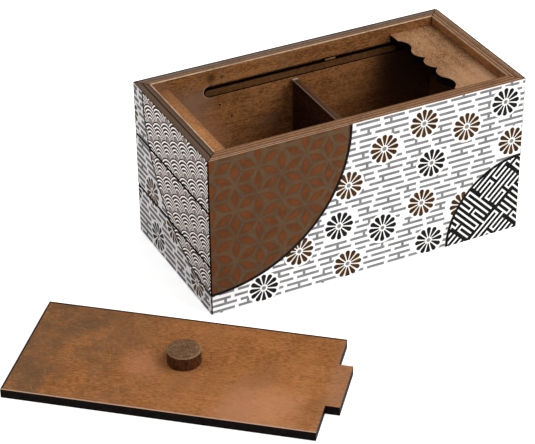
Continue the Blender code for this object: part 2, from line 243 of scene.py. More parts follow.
class Look:
    """A node material being put together round a Principled BSDF.

    Its pattern is laid out about a middle and turned about Z, in the coordinates of the piece.
    """

    def __init__(self, name, roughness=0.6, specular=0.05, middle=(0, 0, 0), turn=0.0):
        self.material = bpy.data.materials.new(name)
        self.material.use_nodes = True
        self.tree = self.material.node_tree
        self.shader = self.tree.nodes["Principled BSDF"]
        self.shader.inputs["Roughness"].default_value = roughness
        self.shader.inputs["Specular IOR Level"].default_value = specular
        texture = self.tree.nodes.new("ShaderNodeTexCoord")
        self.normal = texture.outputs["Normal"]
        moved = self.vector("SUBTRACT", texture.outputs["Object"], middle)
        self.place = self.add("ShaderNodeMapping", {"Vector": moved, "Rotation": (0, 0, -turn)})

    def add(self, kind, inputs, output=0, **settings):
        node = self.tree.nodes.new(kind)
        for key, value in settings.items():
            setattr(node, key, value)
        for key, value in inputs.items():
            if isinstance(value, bpy.types.NodeSocket):
                self.tree.links.new(value, node.inputs[key])
            else:
                node.inputs[key].default_value = value
        return node.outputs[output]

    def maths(self, operation, *values, clamp=False):
        inputs = dict(enumerate(values))
        return self.add("ShaderNodeMath", inputs, operation=operation, use_clamp=clamp)

    def vector(self, operation, *values, output="Vector"):
        inputs = dict(enumerate(values))
        return self.add("ShaderNodeVectorMath", inputs, output=output, operation=operation)

    def ramp(self, value, low, high, to_low=0.0, to_high=1.0, kind="SMOOTHSTEP"):
        """A value carried from one range to another, and held at its ends."""
        inputs = {"Value": value, "From Min": low, "From Max": high}
        inputs.update({"To Min": to_low, "To Max": to_high})
        return self.add("ShaderNodeMapRange", inputs, interpolation_type=kind)

    def mix(self, factor, a, b):
        node = self.tree.nodes.new("ShaderNodeMix")
        node.data_type = "RGBA"
        for key, value in ((0, factor), (6, a), (7, b)):
            if isinstance(value, bpy.types.NodeSocket):
                self.tree.links.new(value, node.inputs[key])
            elif key == 0:
                node.inputs[key].default_value = value
            else:
                node.inputs[key].default_value = (*value, 1)
        return node.outputs[2]

    def noise(self, scale, detail=4, roughness=0.55, turn=0.0):
        """Noise with this many features a metre, along each axis or along all of them."""
        place = self.place
        if turn:
            place = self.add("ShaderNodeMapping", {"Vector": place, "Rotation": (0, 0, turn)})
        if isinstance(scale, tuple):
            place = self.vector("MULTIPLY", place, scale)
            scale = 1
        inputs = {"Vector": place, "Scale": scale, "Detail": detail, "Roughness": roughness}
        return self.add("ShaderNodeTexNoise", inputs, output="Fac")

    def coordinate(self, axis):
        return self.add("ShaderNodeSeparateXYZ", {0: self.place}, output="XYZ".index(axis))

    def facing(self, direction, least=0.8):
        """1 where the surface faces this way, and 0 elsewhere."""
        along = self.vector("DOT_PRODUCT", self.normal, direction, output="Value")
        return self.maths("GREATER_THAN", along, least)

    def distance(self, centre, unused):
        """How far a point is from a centre, leaving one axis out."""
        away = self.vector("SUBTRACT", self.place, centre)
        kept = tuple(0.0 if axis == unused else 1.0 for axis in "XYZ")
        return self.vector("LENGTH", self.vector("MULTIPLY", away, kept), output="Value")

    def stripes(self, value, tones):
        """A colour by a value from 0 to 1."""
        node = self.tree.nodes.new("ShaderNodeValToRGB")
        elements = node.color_ramp.elements
        while len(elements) < len(tones):
            elements.new(0.5)
        for element, (position, colour) in zip(elements, tones):
            element.position = position
            element.color = (*colour, 1)
        self.tree.links.new(value, node.inputs["Fac"])
        return node.outputs["Color"]

    def bump(self, height, distance, strength=1.0):
        inputs = {"Height": height, "Distance": distance, "Strength": strength}
        self.tree.links.new(self.add("ShaderNodeBump", inputs), self.shader.inputs["Normal"])

    def finish(self, colour, roughness=None):
        self.tree.links.new(colour, self.shader.inputs["Base Color"])
        if roughness is not None:
            self.tree.links.new(roughness, self.shader.inputs["Roughness"])
        return self.material


def stretched(along, long_scale, cross_scale):
    """Noise scales for grain that runs along one axis."""
    return tuple(long_scale if axis == along else cross_scale for axis in "XYZ")


def wood(look, along, tones, streak=0.22, mottled=0.19, fine=1.0):
    """Stained wood: (colour, tone, height). It is mottled, with fine fibres and greyer patches.

    Its tone is made of fibres, streaks, a small mottle and a broad one, and their shares add up
    to 1.
    """
    dark, light, patch = tones
    fibres = look.noise(stretched(along, 460 * fine, 1500 * fine), 3, 0.6)
    streaks = look.noise(stretched(along, 16, 260), 4, 0.6)
    mottle = look.noise(stretched(along, 160, 400), 5, 0.68)
    broad = look.noise(31, 3, 0.5)
    tone = look.maths("MULTIPLY", fibres, FIBRE_SHARE)
    tone = look.maths("MULTIPLY_ADD", streaks, streak, tone)
    tone = look.maths("MULTIPLY_ADD", mottle, mottled, tone)
    tone = look.maths("MULTIPLY_ADD", broad, 1 - FIBRE_SHARE - mottled - streak, tone)
    tone = look.ramp(tone, 0.39, 0.61)
    colour = look.mix(tone, dark, light)
    patches = look.ramp(look.noise(44, 3, 0.55), 0.54, 0.70, 0, 0.6)
    colour = look.mix(patches, colour, patch)
    height = look.maths("MULTIPLY_ADD", fibres, 0.6, look.maths("MULTIPLY", streaks, 0.4))
    return colour, tone, height


def burnt(look):
    """Laser-cut or dark stained edges."""
    dark, light, patch = BURNT
    colour = look.mix(look.ramp(look.noise(520, 3, 0.6), 0.42, 0.70), dark, light)
    return look.mix(look.ramp(look.noise(90, 3, 0.6), 0.45, 0.70), colour, patch)


def rim_stripes(look, node, through):
    """The plies of a board's top edge, listed from its outside."""
    low, high = (corner["XYZ".index(through)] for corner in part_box(node))
    outside_low = node.startswith(("front", "left", "slat"))
    first, last = (low, high) if outside_low else (high, low)
    value = look.ramp(look.coordinate(through), first, last, kind="LINEAR")
    wobble = look.noise(140, 4, 0.62)
    value = look.maths("ADD", value, look.maths("MULTIPLY_ADD", wobble, 0.14, -0.07))
    colour = look.stripes(value, RIMS[node])
    fibre = look.noise(1100, 3, 0.6)
    colour = look.mix(look.ramp(fibre, 0.42, 0.72, 0, 0.45), colour, RIM_FIBRE)
    worn = look.ramp(look.noise(60, 4, 0.65), 0.48, 0.66, 0, 0.35)
    return look.mix(worn, colour, RIM_WEAR)


def board_look(node, along, through, tones, printed=None, marks=None, streak=0.22):
    """A board's wood: mottled faces, dark edges, a striped rim, and a print on one face."""
    look = Look("wood_" + node, 0.62)
    colour, tone, height = wood(look, along, tones, streak, mottled=0.11, fine=FINER)
    if marks:
        colour = marks(look, colour)
    out = tuple(1.0 if axis == through else 0.0 for axis in "XYZ")
    faces = look.maths("ADD", look.facing(out), look.facing(scaled(out, -1)), clamp=True)
    colour = look.mix(faces, burnt(look), colour)
    if node in RIMS:
        rim_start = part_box(node)[1][2] - RIM_DEPTH
        at_top = look.maths("GREATER_THAN", look.coordinate("Z"), rim_start)
        on_rim = look.maths("MULTIPLY", look.facing((0, 0, 1), 0.6), at_top)
        colour = look.mix(on_rim, colour, rim_stripes(look, node, through))
    roughness = look.ramp(tone, 0, 1, *MATT)
    if printed:
        on_print = look.facing(printed)
        # painted shade on the slats' print
        ground = print_ground(look, LEFT_SHADE if node in SLATS else PLAIN)
        colour = look.mix(on_print, colour, ground)
        at_edge = look.maths("MULTIPLY", on_print, print_edge(look, node, along))
        colour = look.mix(at_edge, colour, BURNT[0] if node in SLATS else VENEER)
        roughness = look.maths("MULTIPLY_ADD", on_print, -0.12, roughness)
        height = look.maths("MULTIPLY", height, look.ramp(on_print, 0, 1, 1, 0.25))
    look.bump(height, BUMP_DEPTH, BUMP_STRENGTH)
    return look.finish(colour, roughness)


def print_margins(node):
    """How far the print stays from a piece's bottom and top. It is further between slats."""
    return (
        JOINT_MARGIN if node in SLATS[:2] else EDGE_MARGIN,
        JOINT_MARGIN if node in SLATS[1:] else EDGE_MARGIN,
    )


def print_edge(look, node, along):
    """1 round a printed face, where the print stops."""
    low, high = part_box(node)
    side = "XYZ".index(along)
    margins = (EDGE_MARGIN, EDGE_MARGIN, *print_margins(node))
    up = "XYZ".index("Z")
    edges = ((side, low, 1), (side, high, -1), (up, low, 1), (up, high, -1))
    found = 0.0
    for (axis, corner, inward), margin in zip(edges, margins):
        away = look.maths("SUBTRACT", look.coordinate("XYZ"[axis]), corner[axis])
        inside = look.maths("MULTIPLY", away, inward)
        near = look.maths("LESS_THAN", inside, (margin + EDGE_SLACK) * MM)
        found = look.maths("MAXIMUM", near, found)
    return found


def print_ground(look, tint):
    """White print on veneer: faint grey mottle and small specks."""
    mottle = look.noise(60, 4, 0.6)
    specks = look.noise(1500, 2, 0.5)
    white = tinted(GROUND, tint)
    ground = look.mix(look.ramp(mottle, 0.3, 0.75), white, scaled(white, 0.94))
    return look.mix(look.ramp(specks, 0.66, 0.8, 0, 0.3), ground, tinted(SPECKS, tint))


def ink_look(name, colour, other, scale):
    """One ink: two close colours mottled together, with small worn specks."""
    look = Look("ink_" + name)
    mottle = look.noise(scale, 4, 0.65)
    fine = look.noise(1900, 2, 0.5)
    tone = look.mix(look.ramp(mottle, 0.36, 0.64), colour, other)
    tone = look.mix(look.ramp(fine, 0.60, 0.78, 0, 0.025), tone, scaled(GROUND, 0.5))
    look.bump(fine, 0.03 * MM, 0.4)
    return look.finish(tone, look.ramp(mottle, 0, 1, 0.47, 0.65))


# ---------------------------------------------------------------- the print's shapes

class Face:
    """A flat printed side: where its top left corner is, and its three directions."""

    def __init__(self, name, inks, origin, across, outward, size, nodes):
        self.name = name
        self.inks = inks
        self.origin = Vector(origin)
        self.across = Vector(across)
        self.down = Vector((0, 0, -1))
        self.outward = Vector(outward)
        self.size = size
        self.nodes = nodes

    def point(self, u, v, height):
        return self.origin + MM * (u * self.across + v * self.down + height * self.outward)

    def window(self, node):
        """The rectangle of this face that a node shows, less the margins without print."""
        corners = [Vector(corner) - self.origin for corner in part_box(node)]
        us = sorted(corner.dot(self.across) / MM for corner in corners)
        vs = sorted(corner.dot(self.down) / MM for corner in corners)
        u0 = us[0] + EDGE_MARGIN
        u1 = us[1] - EDGE_MARGIN
        at_bottom, at_top = print_margins(node)
        v0 = vs[0] + at_top
        v1 = vs[1] - at_bottom
        return Fence([(u0, v0), (u1, v0), (u1, v1), (u0, v1)])


class Fence:
    """A convex outline that shapes are cut to, and the radius of a circle that fits in it."""

    def __init__(self, points):
        self.points = points
        self.edges = list(zip(points, points[1:] + points[:1]))
        self.middle = [sum(values) / len(points) for values in zip(*points)]
        self.inner = min(
            side_of(self.middle, edge) / math.dist(*edge) for edge in self.edges
        )

    def holds(self, shape):
        if all(math.dist(self.middle, point) <= self.inner for point in shape):
            return True
        return all(side_of(point, edge) >= 0 for edge in self.edges for point in shape)

    def clip(self, shape):
        """The part of a polygon inside, both listed the same way round."""
        for edge in self.edges:
            kept = []
            sides = [side_of(point, edge) for point in shape]
            for i, (point, side) in enumerate(zip(shape, sides)):
                before, side_before = shape[i - 1], sides[i - 1]
                if (side >= 0) != (side_before >= 0):
                    t = side_before / (side_before - side)
                    kept.append(tuple(p + t * (q - p) for p, q in zip(before, point)))
                if side >= 0:
                    kept.append(point)
            shape = kept
            if len(shape) < 3:
                return []
        return shape


def side_of(point, edge):
    """Above 0 where the point is on an edge's inner side."""
    (ax, ay), (bx, by) = edge
    return (bx - ax) * (point[1] - ay) - (by - ay) * (point[0] - ax)


def area(shape):
    """The area of a polygon, negative if it is listed the other way round."""
    ring_on = shape[1:] + shape[:1]
    return sum(ax * by - bx * ay for (ax, ay), (bx, by) in zip(shape, ring_on)) / 2


def wound(shape):
    """A polygon listed so that its area is above 0."""
    return shape if area(shape) > 0 else shape[::-1]


def triangles(shape):
    flat = [Vector((x, y, 0)) for x, y in shape]
    return [[shape[i] for i in corners] for corners in tessellate_polygon([flat])]


def cut_to(shapes, fence):
    """The parts of these shapes inside a fence. One that the fence crosses is cut as triangles."""
    found = []
    for shape in shapes:
        if fence.holds(shape):
            found.append(wound(shape))
        else:
            found += [fence.clip(wound(piece)) for piece in triangles(shape)]
    return [shape for shape in found if shape and abs(area(shape)) > SMALLEST]


def placed(outline, centre, angle):
    """An outline turned by an angle and moved to a centre."""
    c = math.cos(angle)
    s = math.sin(angle)
    return [(centre[0] + c * x - s * y, centre[1] + s * x + c * y) for x, y in outline]


def circle(centre, radius, steps=CIRCLE_STEPS):
    turns = [2 * math.pi * step / steps for step in range(steps)]
    return [(centre[0] + radius * math.cos(t), centre[1] + radius * math.sin(t)) for t in turns]


def arc(centre, radius, start, end, steps):
    """Points on a circle. Angles are from straight up, clockwise."""
    turns = [start + (end - start) * step / steps for step in range(steps + 1)]
    return [(centre[0] + radius * math.sin(t), centre[1] - radius * math.cos(t)) for t in turns]


def ring(centre, inner, outer, steps):
    """A ring as a row of short sectors."""
    step = 2 * math.pi / steps
    sectors = []
    for i in range(steps):
        out = arc(centre, outer, i * step, (i + 1) * step, 1)
        back = arc(centre, inner, (i + 1) * step, i * step, 1)
        sectors.append(out + back)
    return sectors


def ink(face, name, shapes, colour, layer):
    """Lays flat shapes on a face as thin ink, split where the face is split into nodes."""
    for node in face.nodes:
        points = []
        faces = []
        for shape in cut_to(shapes, face.window(node)):
            count = len(shape)
            first = len(points)
            points += [face.point(u, v, INK_FOOT) for u, v in shape]
            points += [face.point(u, v, layer * LAYER) for u, v in shape]
            faces.append([first + i for i in range(count)])
            faces.append([first + count + i for i in reversed(range(count))])
            for i in range(count):
                j = (i + 1) % count
                faces.append([first + j, first + i, first + count + i, first + count + j])
        if faces:
            piece = new_mesh_object(f"{face.name}_{name}_{node}", points, faces, face.inks[colour])
            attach(piece, BODY_OF[node])


def bar(span, y, t):
    """A bar from one end of its span to the other, with its upper side at y."""
    return [(span[0], y), (span[1], y), (span[1], y + t), (span[0], y + t)]


def joined_bars(top, bottom, stem, y, t):
    """Two bars, one row apart, and the stem that joins them, as one outline."""
    low = y + ROW_PITCH
    s0 = stem - t / 2
    s1 = stem + t / 2
    return [
        (top[0], y), (top[1], y), (top[1], y + t), (s1, y + t),
        (s1, low), (bottom[1], low), (bottom[1], low + t), (bottom[0], low + t),
        (bottom[0], low), (s0, low), (s0, y + t), (top[0], y + t),
    ]


def make_bars(face, seed, thick, skipped):
    """Rows of bars in pairs, one row apart, and the bars' spans. Some pairs have no stem."""
    draw = random.Random(seed)
    rows = int(face.size[1] / ROW_PITCH) + 3
    centres = [draw.uniform(0, GLYPH_PITCH)]
    while len(centres) < rows + 2:
        centres.append(centres[-1] + GLYPH_PITCH * draw.uniform(0.42, 0.58))
    gaps = {}

    def gap(row, number):
        """Where a gap of a row is. Gap 2k comes before the bar that the k-th pair starts with."""
        if (row, number) not in gaps:
            middle = (centres[row] + centres[row - 1] + number * GLYPH_PITCH) / 2
            gaps[row, number] = middle + draw.uniform(-GAP_NUDGE, GAP_NUDGE)
        return gaps[row, number]

    shapes = []
    spans = []
    half = BAR_GAP / 2
    for row in range(1, rows):
        y = (row - 2) * ROW_PITCH + ROW_START
        first = math.floor(-centres[row] / GLYPH_PITCH) - 1
        last = math.ceil((face.size[0] - centres[row]) / GLYPH_PITCH) + 1
        for k in range(first, last + 1):
            top = (gap(row, 2 * k) + half, gap(row, 2 * k + 1) - half)
            bottom = (gap(row + 1, 2 * k - 1) + half, gap(row + 1, 2 * k) - half)
            spans += [(top, y + thick / 2), (bottom, y + ROW_PITCH + thick / 2)]
            stem = centres[row] + k * GLYPH_PITCH + draw.uniform(-STEM_NUDGE, STEM_NUDGE)
            if draw.random() > skipped:
                shapes.append(joined_bars(top, bottom, stem, y, thick))
            else:
                shapes += [bar(top, y, thick), bar(bottom, y + ROW_PITCH, thick)]
    return shapes, spans


def cover_stubs(spans, flowers, thick):
    """Small discs over the short ends that bars leave past a flower's clearing."""
    radius = math.hypot(SHORTEST_STUB, thick) / 2 + COVER_MARGIN
    found = []
    for (start, end), y in spans:
        for x, inward in ((start, 1), (end, -1)):
            further = x + inward * SHORTEST_STUB
            for centre, _ in flowers:
                outside = math.dist((x, y), centre) > FLOWER_CLEAR
                if outside and math.dist((further, y), centre) < FLOWER_CLEAR:
                    found.append(circle(((x + further) / 2, y), radius, SMALL_CIRCLE_STEPS))
    return found


def flower_centres(face, first, discs):
    """(centre, dark) of each flower: three to a cell, the dark ones spread among the brown."""
    found = []
    for row in FLOWER_ROWS:
        for column in FLOWER_COLUMNS:
            darks = (row % 2 == 1 and column % 2 == 0, column % 2 == 1, column % 2 == 0)
            for (du, dv), dark in zip(FLOWER_OFFSETS, darks):
                u = first[0] + column * FLOWER_PERIOD[0] + du
                v = first[1] + row * FLOWER_PERIOD[1] + dv
                near = -FLOWER_CLEAR < u < face.size[0] + FLOWER_CLEAR
                near = near and -FLOWER_CLEAR < v < face.size[1] + FLOWER_CLEAR
                depths = [radius - math.dist((u, v), centre) for _, centre, radius in discs]
                if near and max(depths) < FLOWER_HIDDEN:
                    found.append(((u, v), dark))
    return found


def petal_outline():
    """A narrow foot near the middle, widening to a round head."""
    neck = PETAL_OUTER - PETAL_HALF_HEAD
    head = [
        (neck + PETAL_HALF_HEAD * math.cos(turn), PETAL_HALF_HEAD * math.sin(turn))
        for turn in (
            math.pi * (step / PETAL_HEAD_STEPS - 0.5) for step in range(PETAL_HEAD_STEPS + 1)
        )
    ]
    return [(PETAL_INNER, -PETAL_HALF_FOOT), *head, (PETAL_INNER, PETAL_HALF_FOOT)]


def print_flowers(face, centres):
    """Each flower's white clearing, petals, ring and heart, and gold rays in the brown ones."""
    step = 2 * math.pi / PETALS
    clearings = [circle(centre, FLOWER_CLEAR) for centre, _ in centres]
    ink(face, "clearings", clearings, "white", 2)
    for name, wanted in (("dark", True), ("brown", False)):
        mine = [centre for centre, dark in centres if dark == wanted]
        petals = [placed(petal_outline(), c, n * step) for c in mine for n in range(PETALS)]
        ink(face, name + "_petals", petals, name, 3)
        if not wanted:
            rays = [placed(GOLD_RAY, c, (n + 0.5) * step) for c in mine for n in range(PETALS)]
            ink(face, "gold_rays", rays, "gold", 3)
    rings = []
    for centre, _ in centres:
        rings += ring(centre, RING_INNER, RING_OUTER, RING_STEPS)
    ink(face, "flower_rings", rings, "cream", 3)
    hearts = [circle(centre, RING_INNER, SMALL_CIRCLE_STEPS) for centre, _ in centres]
    ink(face, "flower_hearts", hearts, "grey", 3)


def make_leaves(centre, radius):
    """Stars of six leaves on a triangular lattice, and the fine lines between the leaves."""
    across = LEAF_SIDE * math.sqrt(3) / 2
    # half of a leaf's outline, as shares of its half length and half width
    side = ((-1, 0), (-0.6, 0.52), (-0.22, 0.93), (0.0, 1.0), (0.22, 0.93), (0.6, 0.52))
    outlines = []
    for long, wide in LEAF_SIZES:
        half = [(x * long / 2, y * wide / 2) for x, y in side]
        outlines.append([(x + LEAF_SIDE / 2, y) for x, y in half + [(-x, -y) for x, y in half]])
    reach = LEAF_SIDE / math.sqrt(3)
    tip = reach * VEIN_REACH
    outlines.append([
        (VEIN_START, -VEIN_HALF_FOOT), (tip, -VEIN_HALF_TIP),
        (tip, VEIN_HALF_TIP), (VEIN_START, VEIN_HALF_FOOT),
    ])
    turns = ((90, 30, -30), (90, 30, -30), range(0, 360, 60))
    shapes = ([], [], [])
    for column in LEAF_COLUMNS:
        for row in LEAF_ROWS:
            x = LEAF_START[0] + column * across
            y = LEAF_START[1] + (row + (column % 2) / 2) * LEAF_SIDE
            if math.dist((x, y), centre) < radius + LEAF_SIDE:
                for found, outline, angles in zip(shapes, outlines, turns):
                    found += [placed(outline, (x, y), math.radians(angle)) for angle in angles]
    fence = Fence(circle(centre, radius - DISC_OUTLINE / 2, DISC_STEPS))
    return [cut_to(found, fence) for found in shapes]


def make_waves(centre, radius):
    """Fans of arcs in rows, each row covering the lower part of the one above."""
    fans = []
    arcs = []
    core = WAVE_RADIUS - WAVE_ARCS * WAVE_PITCH
    for row in WAVE_ROWS:
        for column in WAVE_COLUMNS:
            x = (column * 2 + row % 2) * WAVE_RADIUS + WAVE_START[0]
            y = row * WAVE_RADIUS / 2 + WAVE_START[1]
            if math.dist((x, y), centre) < radius + WAVE_RADIUS:
                fans.append(fan((x, y), core + WAVE_HEART, WAVE_RADIUS))
                for number in range(WAVE_ARCS):
                    outer = WAVE_RADIUS - number * WAVE_PITCH - WAVE_BORDER
                    arcs.append(fan((x, y), outer - WAVE_LINE, outer))
    fence = Fence(circle(centre, radius - DISC_OUTLINE / 2, DISC_STEPS))
    return cut_to(fans, fence), cut_to(arcs, fence)


def fan(centre, inner, outer):
    """The part of a ring that the next row's circles leave showing."""
    out = fan_reach(outer)
    back = fan_reach(inner)
    return arc(centre, outer, -out, out, ARC_STEPS) + arc(centre, inner, back, -back, ARC_STEPS)


def fan_reach(radius):
    """How far round from the top an arc of this radius shows."""
    share = radius / WAVE_RADIUS
    rise = (share + 1 / (4 * share)) / math.sqrt(5)
    return math.atan(0.5) + math.asin(min(1.0, rise))


def stroke(points, width):
    """The outline of a line of this width with square corners."""
    left = []
    right = []
    for i, (x, y) in enumerate(points):
        normals = []
        for (ax, ay), (bx, by) in zip(points[max(i - 1, 0):i + 1], points[max(i, 1):i + 2]):
            length = math.hypot(bx - ax, by - ay)
            normals.append(((ay - by) / length, (bx - ax) / length))
        nx, ny = (sum(values) for values in zip(*normals))
        factor = width / 2 * len(normals) / (nx * nx + ny * ny)
        left.append((x + nx * factor, y + ny * factor))
        right.append((x - nx * factor, y - ny * factor))
    return left + right[::-1]


# One block of the fret, in units: two long hairpins, two hooks that reach the next blocks, and
# two short hairpins.
FRET_BLOCK = 8
FRET_LINES = (
    ((7.5, 0.5), (0.5, 0.5), (0.5, 1.5), (7.5, 1.5)),
    ((-0.28, 2.5), (3.5, 2.5), (3.5, 3.5), (0.6, 3.5)),
    ((8.28, 3.5), (4.5, 3.5), (4.5, 2.5), (7.4, 2.5)),
    ((0.5, 4.5), (7.5, 4.5), (7.5, 5.5), (0.5, 5.5)),
    ((7.5, 7.5), (4.5, 7.5), (4.5, 6.5), (7.5, 6.5)),
    ((0.5, 6.5), (3.5, 6.5), (3.5, 7.5), (0.5, 7.5)),
)


def make_fret(centre, radius):
    """Blocks of lines, every other one mirrored about its diagonal, all set at 45 degrees."""
    shapes = []
    reach = int(radius / (FRET_UNIT * FRET_BLOCK)) + 2
    for row in range(-reach, reach):
        for column in range(-reach, reach):
            for line in FRET_LINES:
                laid = [(b, a) if (row + column) % 2 else (a, b) for a, b in line]
                points = [
                    (FRET_UNIT * (a + column * FRET_BLOCK), FRET_UNIT * (b + row * FRET_BLOCK))
                    for a, b in laid
                ]
                shapes.append(placed(stroke(points, FRET_LINE), centre, math.pi / 4))
    return cut_to(shapes, Fence(circle(centre, radius - DISC_OUTLINE, DISC_STEPS)))


def print_disc(face, kind, centre, radius):
    """A large round field, its pattern, and the black line round it."""
    whole = [circle(centre, radius, DISC_STEPS)]
    if kind == "leaves":
        leaves, middles, veins = make_leaves(centre, radius)
        ink(face, "leaf_ground", whole, "taupe", 3.5)
        ink(face, "leaf_veins", veins, "vein", 4.5)
        ink(face, "leaves", leaves, "russet", 5.25)
        ink(face, "leaf_middles", middles, "rust", 6)
    elif kind == "waves":
        fans, arcs = make_waves(centre, radius)
        ink(face, "wave_ground", whole, "stone", 4)
        ink(face, "wave_fans", fans, "umber", 5)
        ink(face, "wave_arcs", arcs, "chalk", 6)
    else:
        ink(face, "fret_ground", whole, "black", 4)
        ink(face, "fret_lines", make_fret(centre, radius), "white", 5)
    outline = ring(centre, radius - DISC_OUTLINE, radius, DISC_STEPS)
    ink(face, kind + "_outline", outline, "black", 7)


# Each ink's two colours, and how fine its mottling is.
INKS = {
    "grey": ((0.157, 0.156, 0.160), (0.209, 0.207, 0.211), 220),
    "white": (GROUND, scaled(GROUND, 0.95), 220),
    "cream": ((0.78, 0.74, 0.67), (0.68, 0.63, 0.56), 220),
    "dark": ((0.005, 0.004, 0.004), (0.013, 0.010, 0.009), 220),
    "brown": ((0.030, 0.013, 0.005), (0.058, 0.026, 0.009), 220),
    "gold": ((0.72, 0.47, 0.22), (0.80, 0.60, 0.36), 220),
    "taupe": ((0.076, 0.039, 0.017), (0.102, 0.056, 0.027), 150),
    "vein": ((0.108, 0.066, 0.039), (0.088, 0.050, 0.028), 220),
    "russet": ((0.104, 0.037, 0.012), (0.080, 0.032, 0.012), 190),
    "rust": ((0.138, 0.038, 0.009), (0.096, 0.031, 0.009), 190),
    "stone": ((0.27, 0.225, 0.21), (0.38, 0.325, 0.31), 120),
    "umber": ((0.014, 0.009, 0.008), (0.034, 0.023, 0.019), 220),
    "chalk": ((0.97, 0.93, 0.90), (0.99, 0.97, 0.95), 220),
    "black": ((0.003, 0.002, 0.002), (0.007, 0.005, 0.005), 220),
}


def make_inks(side, tint, apart):
    """Every ink in one tint, but those named apart in their own."""
    inks = {}
    for name, (colour, other, scale) in INKS.items():
        own = apart.get(name, tint)
        inks[name] = ink_look(f"{name}_{side}", tinted(colour, own), tinted(other, own), scale)
    return inks


def make_faces():
    """The four printed sides, each from its top left corner as seen from outside."""
    right, back, top = cad_box[1]
    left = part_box("slat_top")[0][0]
    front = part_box("front_outer_board")[0][1]
    long = round((right - left) / MM, 1)
    short = round((back - front) / MM, 1)
    tall = round(top / MM, 1)
    wide = (long, tall)
    narrow = (short, tall)
    inks = make_inks("bright", PLAIN, {})
    # painted shade on the left side's print
    shaded_left = make_inks("shaded_left", LEFT_SHADE, LEFT_INKS)
    at_front = (left, front, top)
    at_left = (left, back, top)
    at_right = (right, front, top)
    at_back = (right, back, top)
    return (
        Face("front", inks, at_front, (1, 0, 0), (0, -1, 0), wide, ["front_outer_board"]),
        Face("left", shaded_left, at_left, (0, -1, 0), (-1, 0, 0), narrow, SLATS),
        Face("right", inks, at_right, (0, 1, 0), (1, 0, 0), narrow, ["right_outer_board"]),
        Face("back", inks, at_back, (-1, 0, 0), (0, 1, 0), wide, ["back_outer_board"]),
    )


# For each face: a seed, how thick its bars are, the share of stems left out, one flower's place,
# and its discs.
PRINTS = (
    (11, 1.28, 0.12, (81.15, 16.1), (("leaves", (0.3, 0), 65.5), ("fret", (151.2, 74.85), 38.1))),
    (23, 1.62, 0.60, (-2.7, 14.3), (("waves", (75, 0), 65.4),)),
    (37, 1.28, 0.12, (38.0, 12.0), (("fret", (-1.2, 74.85), 38.1),)),
    (41, 1.28, 0.12, (14.0, 10.0), (("leaves", (75, 75), 50),)),
)


def make_print():
    for face, (seed, thick, skipped, first_flower, discs) in zip(make_faces(), PRINTS):
        bars, spans = make_bars(face, seed, thick, skipped)
        flowers = flower_centres(face, first_flower, discs)
        ink(face, "bars", bars, "grey", 1)
        ink(face, "stub_covers", cover_stubs(spans, flowers, thick), "white", 1.5)
        print_flowers(face, flowers)
        for kind, centre, radius in discs:
            print_disc(face, kind, centre, radius)


# ---------------------------------------------------------------- the wooden pieces

def dress(node, material):
    piece = frame["nodes"][node]
    piece.data.materials.clear()
    piece.data.materials.append(material)


# On the back wall, in millimetres: how far along and up each mark is, and its radius. A pale
# patch has its colour too.
PALE_PATCHES = (
    (-54, 56, 17, (0.30, 0.175, 0.105)),
    (-50, 36, 22, (0.46, 0.225, 0.125)),
)
BRAD_HOLES = ((-37.1, 56.8, 0.62), (-31.5, 49.8, 0.62))
# darker patches above the slot's left end
DARK_PATCHES = ((-41.0, 71.0, 3.6), (-36.0, 70.5, 2.6))
DARK_PATCH = (0.045, 0.018, 0.008)
# The rounded left end of the lock bar's slot, and the painted highlight round it.
SLOT_END = (-41.9, 64.5)
SLOT_END_HIGHLIGHT = (0.42, 0.30, 0.21)


def back_wall_marks(look, colour):
    """A paler left end, two small brad holes, a dark patch, a painted highlight on the slot's
    rounded end, and painted shadow under the shelf.
    """
    for x, z, radius, shade in PALE_PATCHES:
        away = look.distance((x * MM, 0, z * MM), "Y")
        pale = look.ramp(away, radius * MM, 0.2 * radius * MM, 0, 0.75)
        colour = look.mix(pale, colour, shade)
    for x, z, radius in BRAD_HOLES:
        away = look.distance((x * MM, 0, z * MM), "Y")
        hole = look.ramp(away, radius * 0.6 * MM, radius * MM, 1, 0)
        colour = look.mix(hole, colour, BURNT[0])
    for x, z, radius in DARK_PATCHES:
        away = look.distance((x * MM, 0, z * MM), "Y")
        away = look.maths("MULTIPLY_ADD", look.noise(420, 4, 0.65), 3.4 * MM, away)
        dark_patch = look.ramp(away, radius * 0.6 * MM, radius * 1.35 * MM, 0.75, 0)
        colour = look.mix(dark_patch, colour, DARK_PATCH)
    # a painted highlight round the slot's left end
    away = look.distance((SLOT_END[0] * MM, 0, SLOT_END[1] * MM), "Y")
    pale_end = look.maths("MULTIPLY", look.ramp(away, 3.6 * MM, 2.9 * MM), 0.6)
    at_end = look.ramp(look.coordinate("X"), -41.6 * MM, -42.8 * MM)
    colour = look.mix(look.maths("MULTIPLY", pale_end, at_end), colour, SLOT_END_HIGHLIGHT)
    # painted shadow under the shelf
    return look.mix(shelf_shade(look, 33, 50), colour, SHELF_SHADOW)


def shelf_shade(look, start, full):
    """Painted shadow below the shelf, from one place along the box to another, weaker lower down."""
    z = look.coordinate("Z")
    below_shelf = look.ramp(z, 67 * MM, 63 * MM)
    upwards = look.ramp(z, 15 * MM, 54 * MM, 0.4, 0.95)
    under = look.maths("MULTIPLY", below_shelf, upwards)
    return look.maths("MULTIPLY", look.ramp(look.coordinate("X"), start * MM, full * MM), under)


def right_wall_shelf_shadow(look, colour):
    """Painted shadow under the shelf."""
    return look.mix(shelf_shade(look, 50, 60), colour, SHELF_SHADOW)


def left_wall_groove_shade(look, colour):
    """Painted shade on the outside, behind the slats."""
    return look.mix(look.facing((-1, 0, 0)), colour, BURNT[0])


def ledge_marks(look, colour):
    """Darker towards its free edge and its back end."""
    edge = look.ramp(look.coordinate("X"), -64 * MM, -61.4 * MM, 0, 0.5)
    end = look.ramp(look.coordinate("Y"), -10 * MM, 31 * MM, 0, 0.65)
    return look.mix(look.maths("MAXIMUM", edge, end), colour, (0.16, 0.075, 0.034))


